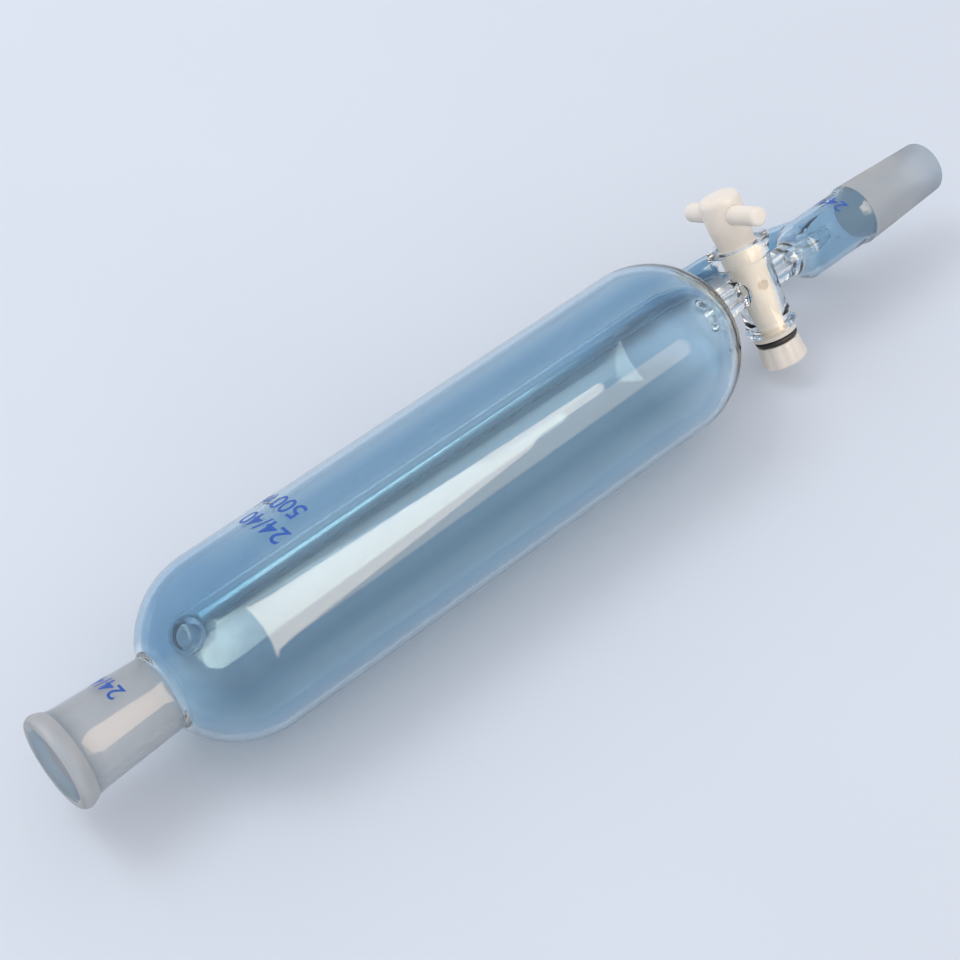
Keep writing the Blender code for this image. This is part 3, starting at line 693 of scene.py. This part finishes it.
def washerPiece(material):
    top, thickness, radius, bore = (washerValues[key] for key in ("top", "thickness", "radius", "bore"))
    bottom = top - thickness
    profile = eased([(top - 0.9, bore), (top, bore), (top, radius), (bottom, radius), (bottom, bore),
                     (top - 0.9, bore)], 0.35)[:-1]
    piece = turnedLoop("plugWasher", profile, stopcock, alongPlug, alongFunnel, washerValues["steps"])
    return dressed(piece, material, "seal_stack", "ptfe", "plug_washer")


def ringPiece(material):
    top, thickness, radius, bore = (ringValues[key] for key in ("top", "thickness", "radius", "bore"))
    half, rounding = thickness / 2, ringValues["rounding"]
    angle = np.radians(np.linspace(90, -90, 13))
    outer = np.stack([top - half + half * np.sin(angle), radius - half + half * np.cos(angle)], 1)
    inner = np.stack([top - half - half * np.sin(angle), bore + rounding * (1 - np.cos(angle))], 1)
    profile = joined(outer, inner)[:-1]
    piece = turnedLoop("sealRing", profile, stopcock, alongPlug, alongFunnel, ringValues["steps"])
    return dressed(piece, material, "seal_stack", "black_rubber", "seal_ring")


def nutPiece(material):
    # Turned, then fluted: the outer skin sinks by the flutes' depth times the square of
    # (1 - cos(flutes times the turn)) / 2
    top, bottom, bore = nutValues["top"], nutValues["bottom"], nutValues["bore"]
    upper, lower, rounding = nutValues["topRadius"], nutValues["bottomRadius"], nutValues["rounding"]
    angle = np.radians(np.linspace(0, 90, 9))
    rim = np.stack([bottom + rounding * (1 - np.sin(angle)), lower - rounding * (1 - np.cos(angle))], 1)
    outer = joined(eased([(top, bore + 1.0), (top, upper), (bottom + rounding, lower)], 0.5), rim,
                   eased([(bottom, lower - rounding), (bottom, bore + 0.5), (bottom + 0.5, bore)], 0.3))
    inner = straight((bottom + 0.5, bore), (top - 0.5, bore), 8)
    profile = joined(outer, inner, np.array([[top - 0.1, bore + 0.5]]))
    steps = nutValues["steps"]
    rows = turnedRows(profile, stopcock, alongPlug, alongFunnel, steps)
    turn = np.linspace(0, 2 * math.pi, steps, endpoint=False)
    outward = rows - stopcock - ((rows - stopcock) @ alongPlug)[..., None] * alongPlug
    outward /= np.linalg.norm(outward, axis=2)[..., None]
    onSkin = step(upper - 1.5, upper - 0.5, profile[:, 1])[:, None]
    flute = nutValues["fluteDepth"] * (0.5 - 0.5 * np.cos(nutValues["flutes"] * turn)) ** 2 * onSkin
    piece = skin("plugNut", rows - mm * flute[..., None] * outward, loop=True)
    return dressed(piece, material, "nut", "ptfe", "plug_nut")


def dressed(piece, material, body, slot, *nodes):
    piece.data.materials.clear()
    piece.data.materials.append(material)
    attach(piece, body)
    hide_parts(*nodes)
    return piece


# The glass's zones and tint

# Painted reflections: lighter and darker bands laid into the glass's tint, running its whole length:
# (reach, half width, change). The reach is measured along an axis between the stopcock's and the side arm's
paintedLightTurn = math.radians(20.4)
paintedLightAxis = math.cos(paintedLightTurn) * alongPlug + math.sin(paintedLightTurn) * toSideArm
paintedReflectionBands = [(22.0, 4.5, 0.12), (7.0, 3.0, -0.08), (-15.0, 2.6, 0.12), (-21.5, 2.6, -0.12),
             (-27.5, 2.0, 0.10)]
# Amounts of blue tint; the back's amount and the side arm's rise towards the tap are painted light and shade
tintAndShadeValues = {"vessel": 0.46, "back": 0.41, "shoulder": 0.3, "calmShoulder": 0.6, "chamber": 0.93,
              "arm": 0.1, "armPaintedShade": 0.88}
gleamValues = {"ends": 0.6, "port": 0.35}
wavesAtEnd = 0.6

# Each zone fades in between two stations, radii or reaches, in millimetres
fades = {"shoulder": (62, 92), "back": (-14, 24), "shoulderBack": (-12, 12), "vessel": (41, 44),
         "belowVessel": (284, 290), "chamber": (329, 334), "pastDripTube": (4.2, 4.6), "offBody": (33.5, 35),
         "offChamber": (12.5, 14.5), "towardTap": (215, 300), "pastLip": (7, 9), "offLip": (13.4, 13.9),
         "pastPort": (58, 70), "base": (274, 284), "belowBase": (292, 296), "outletArm": (316, 320),
         "crown": (332, 336), "aroundPort": (10, 24), "softened": (270, 282), "belowSoftened": (288, 292),
         "pastBore": (41, 43), "offBore": (12.2, 13.2), "coneTip": (384, 402), "deepInBore": (5, 13)}


def rising(key, places):
    return step(*fades[key], places)


def between(start, end, places):
    return rising(start, places) * (1 - rising(end, places))


def placesOf(points):
    # Station, distance from the funnel's axis, reach towards the side arm and reach along the painted light's
    # axis, all in millimetres
    offset = (points.reshape(-1, 3) - mouth) / mm
    return offset[:, 0], np.linalg.norm(offset[:, 1:], axis=1), offset @ toSideArm, offset @ paintedLightAxis


def groundFaces(mesh):
    # Ground glass is the socket's bore, its bead and the outside of the cone
    centres = np.zeros(len(mesh.polygons) * 3)
    mesh.polygons.foreach_get("center", centres)
    station, radius, _, _ = placesOf(centres)
    large, taper, neck = (socketValues[key] for key in ("largeBore", "taper", "neckStation"))
    inSocket = (station > 4.0) & (station < neck + 0.1) & (radius < large - taper * station + 0.5)
    cone = coneValues["large"] - (station - coneValues["start"]) * taper
    alongCone = (station > coneValues["start"]) & (station < coneValues["end"] - 0.6)
    onCone = alongCone & (radius > cone - 0.9)
    onBead = (station < 6.2) & (radius > 13.6)
    return inSocket | onCone | onBead


def tintAndPaintedLightOf(station, radius, reach, back):
    # The vessel's tint deepens at the shoulder and carries the painted reflection bands. It is deeper round
    # its back and paler round the front, painted light and shade that lifts the front where the floor's shadow
    # shows through.
    # The side arm's tint deepens towards the tap as painted shade. The socket, the thick arms, the barrel and
    # the drip tube stay pale
    shoulder = 1 - rising("shoulder", station)
    # Deeper round the back, paler round the front: painted light and shade
    vessel = tintAndShadeValues["vessel"] + tintAndShadeValues["back"] * rising("back", back)
    vessel += tintAndShadeValues["shoulder"] * shoulder * rising("shoulderBack", back)
    # The bands are painted reflections, lighter and darker
    for middle, halfWidth, change in paintedReflectionBands:
        band = np.exp(-((back - middle) / halfWidth) ** 2)
        vessel += change * (1 - tintAndShadeValues["calmShoulder"] * shoulder) * band
    vessel *= between("vessel", "belowVessel", station)
    chamber = tintAndShadeValues["chamber"] * rising("chamber", station) * rising("pastDripTube", radius)
    arm = sideArmShare(station, radius, reach)
    # Deeper towards the tap: painted shade
    armTint = arm * (tintAndShadeValues["arm"] + tintAndShadeValues["armPaintedShade"] * rising("towardTap", station))
    lip = (1 - rising("pastLip", station)) * (1 - rising("offLip", radius))
    return np.maximum.reduce([vessel * (1 - arm), chamber, armTint, lip])


def sideArmShare(station, radius, reach):
    besideChamber = rising("offChamber", reach) * rising("belowVessel", station)
    return np.maximum(rising("offBody", radius), besideChamber)


def writeZones(mesh, zones):
    for name, values in zones.items():
        mesh.attributes.new(name, 'FLOAT', 'POINT').data.foreach_set("value", values.astype(np.float32))


def finishZones(piece):
    # Ground faces take the second material. Each point gets its tint, which carries painted light and shade;
    # its gleam on the side arm, the port, the vessel's base and the outlet arm; how far the flame worked it,
    # at the port and the base; and where ground glass is in the bore or shaded
    mesh = piece.data
    mesh.polygons.foreach_set("material_index", groundFaces(mesh).astype(np.int32))
    points = np.zeros(len(mesh.vertices) * 3)
    mesh.vertices.foreach_get("co", points)
    station, radius, reach, back = placesOf(points)
    sideways = (points.reshape(-1, 3) - mouth) / mm - station[:, None] * alongFunnel
    fromPort = np.hypot(station - sideArmValues["upperPort"],
                        np.linalg.norm(sideways - vesselValues["radius"] * toSideArm, axis=1))
    port = 1 - rising("aroundPort", fromPort)
    base = between("base", "belowBase", station)
    outletArm = between("outletArm", "crown", station) * (1 - rising("offChamber", reach))
    arm = sideArmShare(station, radius, reach)
    armGleam = arm * (1 - rising("towardTap", station)) * rising("pastPort", station)
    endGleam = gleamValues["ends"] * np.maximum(base, outletArm)
    inBore = (1 - rising("pastBore", station)) * (1 - rising("offBore", radius))
    writeZones(mesh, {
        "tintAndPaintedLight": tintAndPaintedLightOf(station, radius, reach, back),
        "gleam": np.maximum.reduce([armGleam, endGleam, gleamValues["port"] * port]),
        "worked": np.maximum(port, wavesAtEnd * between("softened", "belowSoftened", station)),
        "inBore": inBore,
        "shaded": np.maximum(rising("coneTip", station), inBore * (1 - rising("deepInBore", station)))})


glass = glassBody()
dressed(glass, clearGlass(), "glass_body", "clear_glass", "upper_joint", "reservoir", "side_arm",
        "inlet_arm", "stopcock_barrel", "outlet_arm", "drip_tube", "drip_chamber", "lower_joint")
glass.data.materials.append(groundGlass())
finishZones(glass)
white = ptfe("ptfe", alongPlug)
plugPiece(ptfe("ptfePlug", alongPlug, glowing=True))
barPiece(ptfe("ptfeBar", alongBar))
washerPiece(white)
ringPiece(rubber())
nutPiece(white)
print("stopcock made")


# Printed marks

markValues = {"colour": (0.010, 0.075, 0.36), "paler": 1.35, "cloudScale": 900, "roughness": (0.3, 0.5),
              "lift": 0.04, "slice": 0.6, "weight": 0.012, "merge": 0.0001}


def enamel():
    material, nodes, links, shader = shaderOf("blueEnamel")
    cloud = stretchedNoise(nodes, links, markValues["cloudScale"], (1, 1, 1))
    colour = markValues["colour"]
    pale = tuple(channel * markValues["paler"] for channel in colour)
    tone = ramp(nodes, links, cloud.outputs["Fac"], [(0.35, colour), (0.7, pale)])
    links.new(tone.outputs["Color"], shader.inputs["Base Color"])
    rough = mapped(nodes, links, cloud.outputs["Fac"], *markValues["roughness"])
    links.new(rough.outputs["Result"], shader.inputs["Roughness"])
    return material


def slicedLetters(name, text, size):
    # Flat letters, in millimetres, cut across the line of text into narrow slices that can bend
    letters = bpy.data.curves.new(name, 'FONT')
    letters.body = text
    letters.size = size
    letters.offset = markValues["weight"] * size
    source = bpy.data.objects.new(name, letters)
    bpy.context.scene.collection.objects.link(source)
    bpy.context.view_layer.update()
    mesh = bpy.data.meshes.new_from_object(source.evaluated_get(bpy.context.evaluated_depsgraph_get()))
    bpy.data.objects.remove(source, do_unlink=True)
    bpy.data.curves.remove(letters)
    shape = bmesh.new()
    shape.from_mesh(mesh)
    bmesh.ops.remove_doubles(shape, verts=shape.verts, dist=markValues["merge"])
    width = max(vert.co.x for vert in shape.verts)
    for cutAt in np.arange(markValues["slice"], width, markValues["slice"]):
        geometry = shape.verts[:] + shape.edges[:] + shape.faces[:]
        bmesh.ops.bisect_plane(shape, geom=geometry, plane_co=(cutAt, 0, 0), plane_no=(1, 0, 0))
    shape.to_mesh(mesh)
    shape.free()
    return mesh


def mark(name, text, size, station, startDegrees, material, outline):
    # The letters are rolled round the glass: along the text is round the axis, from the given angle above
    # the front, and up the text is towards the mouth
    mesh = slicedLetters(name, text, size)
    flat = np.zeros(len(mesh.vertices) * 3)
    mesh.vertices.foreach_get("co", flat)
    flat = flat.reshape(-1, 3)
    place = station - flat[:, 1]
    radius = np.interp(place, outline[:, 0], outline[:, 1]) + markValues["lift"]
    middle = np.interp(station - size / 3, outline[:, 0], outline[:, 1])
    turn = math.radians(startDegrees) + flat[:, 0] / middle
    upward = np.array([0.0, 0.0, 1.0])
    front = np.cross(alongFunnel, upward)
    away = np.cos(turn)[:, None] * front + np.sin(turn)[:, None] * upward
    rolled = mouth + mm * (place[:, None] * alongFunnel + radius[:, None] * away)
    mesh.vertices.foreach_set("co", rolled.ravel())
    mesh.update()
    piece = bpy.data.objects.new(name, mesh)
    bpy.context.scene.collection.objects.link(piece)
    mesh.materials.clear()
    mesh.materials.append(material)
    mesh.shade_smooth()
    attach(piece, "glass_body")
    return piece


blue = enamel()
vesselLine = vesselOutside()
coneLine = coneOutside()
mark("volumeMark", "500 mL", 9.8, 106.8, 98.0, blue, vesselLine)
mark("sizeMark", "24/40", 9.8, 96.4, 90.0, blue, vesselLine)
mark("socketMark", "24/40", 8.0, 28.6, 84.0, blue, vesselLine)
mark("coneMark", "24/40", 8.0, 357.2, 76.0, blue, coneLine)
print("marks printed")


# Floor, light and camera

floorValues = {"colour": (0.70, 0.745, 0.82), "darker": 0.97, "cloudScale": 3.5, "roughness": 0.7,
               "specular": 0.1, "reach": 6.0, "drop": 0.2}


def floorPiece():
    reach = floorValues["reach"]
    mesh = bpy.data.meshes.new("floor")
    mesh.from_pydata([(-reach, -reach, 0), (reach, -reach, 0), (reach, reach, 0), (-reach, reach, 0)], [],
                     [(0, 1, 2, 3)])
    piece = bpy.data.objects.new("floor", mesh)
    bpy.context.scene.collection.objects.link(piece)
    piece.location.z = -floorValues["drop"] * mm
    material, nodes, links, shader = shaderOf("floor")
    cloud = stretchedNoise(nodes, links, floorValues["cloudScale"], (1, 1, 1))
    colour = floorValues["colour"]
    low = tuple(channel * floorValues["darker"] for channel in colour)
    tone = ramp(nodes, links, cloud.outputs["Fac"], [(0.35, low), (0.65, colour)])
    links.new(tone.outputs["Color"], shader.inputs["Base Color"])
    shader.inputs["Roughness"].default_value = floorValues["roughness"]
    shader.inputs["Specular IOR Level"].default_value = floorValues["specular"]
    mesh.materials.append(material)


def aimed(name, data, values, roll=0.0):
    # Stands a light or camera at its angles and distance from what it aims at. Azimuth 0 is the -Y side and
    # 90 the +X side
    piece = bpy.data.objects.new(name, data)
    bpy.context.scene.collection.objects.link(piece)
    turn, rise = math.radians(values["azimuth"]), math.radians(values["elevation"])
    away = Vector((math.sin(turn) * math.cos(rise), -math.cos(turn) * math.cos(rise), math.sin(rise)))
    piece.location = Vector(values["aim"]) + away * values["distance"]
    piece.rotation_euler = away.to_track_quat('Z', 'Y').to_euler()
    piece.rotation_euler.rotate_axis('Z', math.radians(roll))
    return piece


keyValues = {"aim": (0, 0, 0.03), "azimuth": 215, "elevation": 60, "distance": 1.6, "size": (0.7, 0.7),
             "power": 5.0, "colour": (0.93, 0.97, 1.0)}


def keyLight():
    # Lights the floor and the solid pieces, and isn't seen in the glass
    light = bpy.data.lights.new("key", 'AREA')
    light.shape = 'RECTANGLE'
    light.size, light.size_y = keyValues["size"]
    light.energy = keyValues["power"]
    light.color = keyValues["colour"]
    piece = aimed("key", light, keyValues)
    piece.visible_glossy = False
    piece.visible_transmission = False


softboxValues = {"nearTop": (0.036, -0.108, 0.828), "nearBottom": (0.036, -0.809, 0.245),
                 "farBottom": (0.841, -0.907, 1.251), "farTop": (0.841, -0.635, 1.412), "strength": 6.5,
                 "colour": (1.0, 0.79, 0.60)}

windowValues = {"nearTop": (0.264, -0.755, 1.056), "nearBottom": (0.264, -1.165, 0.543),
                "farBottom": (0.848, -1.117, 0.712), "farTop": (0.847, -0.776, 1.084), "strength": 3.0,
                "colour": (1.0, 0.79, 0.60)}


def softbox(name, values):
    # A tapered panel that only shows in the pieces' reflections, as a long white highlight
    mesh = bpy.data.meshes.new(name)
    corners = [values[key] for key in ("nearTop", "nearBottom", "farBottom", "farTop")]
    mesh.from_pydata(corners, [], [(0, 1, 2, 3)])
    piece = bpy.data.objects.new(name, mesh)
    bpy.context.scene.collection.objects.link(piece)
    material, nodes, links, shader = shaderOf(name)
    shader.inputs["Base Color"].default_value = (0, 0, 0, 1)
    shader.inputs["Emission Color"].default_value = (*values["colour"], 1)
    shader.inputs["Emission Strength"].default_value = values["strength"]
    mesh.materials.append(material)
    piece.visible_camera = False
    piece.visible_diffuse = False
    piece.visible_shadow = False


skyValues = {"colour": (0.965, 0.97, 1.0), "strength": 0.92}


def world():
    sky = bpy.data.worlds.new("sky")
    sky.use_nodes = True
    background = sky.node_tree.nodes["Background"]
    background.inputs["Color"].default_value = (*skyValues["colour"], 1)
    background.inputs["Strength"].default_value = skyValues["strength"]
    bpy.context.scene.world = sky


cameraValues = {"aim": (-0.029445, -0.00653, 0.0326), "distance": 0.72325, "azimuth": -41.644,
                "elevation": 50.335, "lens": 79.92, "sensor": 36, "roll": -0.28, "clip": (0.01, 50)}


def cameraPiece():
    lens = bpy.data.cameras.new("camera")
    lens.lens = cameraValues["lens"]
    lens.sensor_width = cameraValues["sensor"]
    lens.clip_start, lens.clip_end = cameraValues["clip"]
    bpy.context.scene.camera = aimed("camera", lens, cameraValues, cameraValues["roll"])


floorPiece()
world()
keyLight()
softbox("softbox", softboxValues)
softbox("window", windowValues)
cameraPiece()
bpy.context.scene.view_settings.view_transform = 'Standard'
print("floor, lights and camera set")

for piece in bpy.context.scene.objects:
    if piece.type == 'MESH' and not piece.hide_render:
        print(piece.name, len(piece.data.vertices), len(piece.data.polygons))
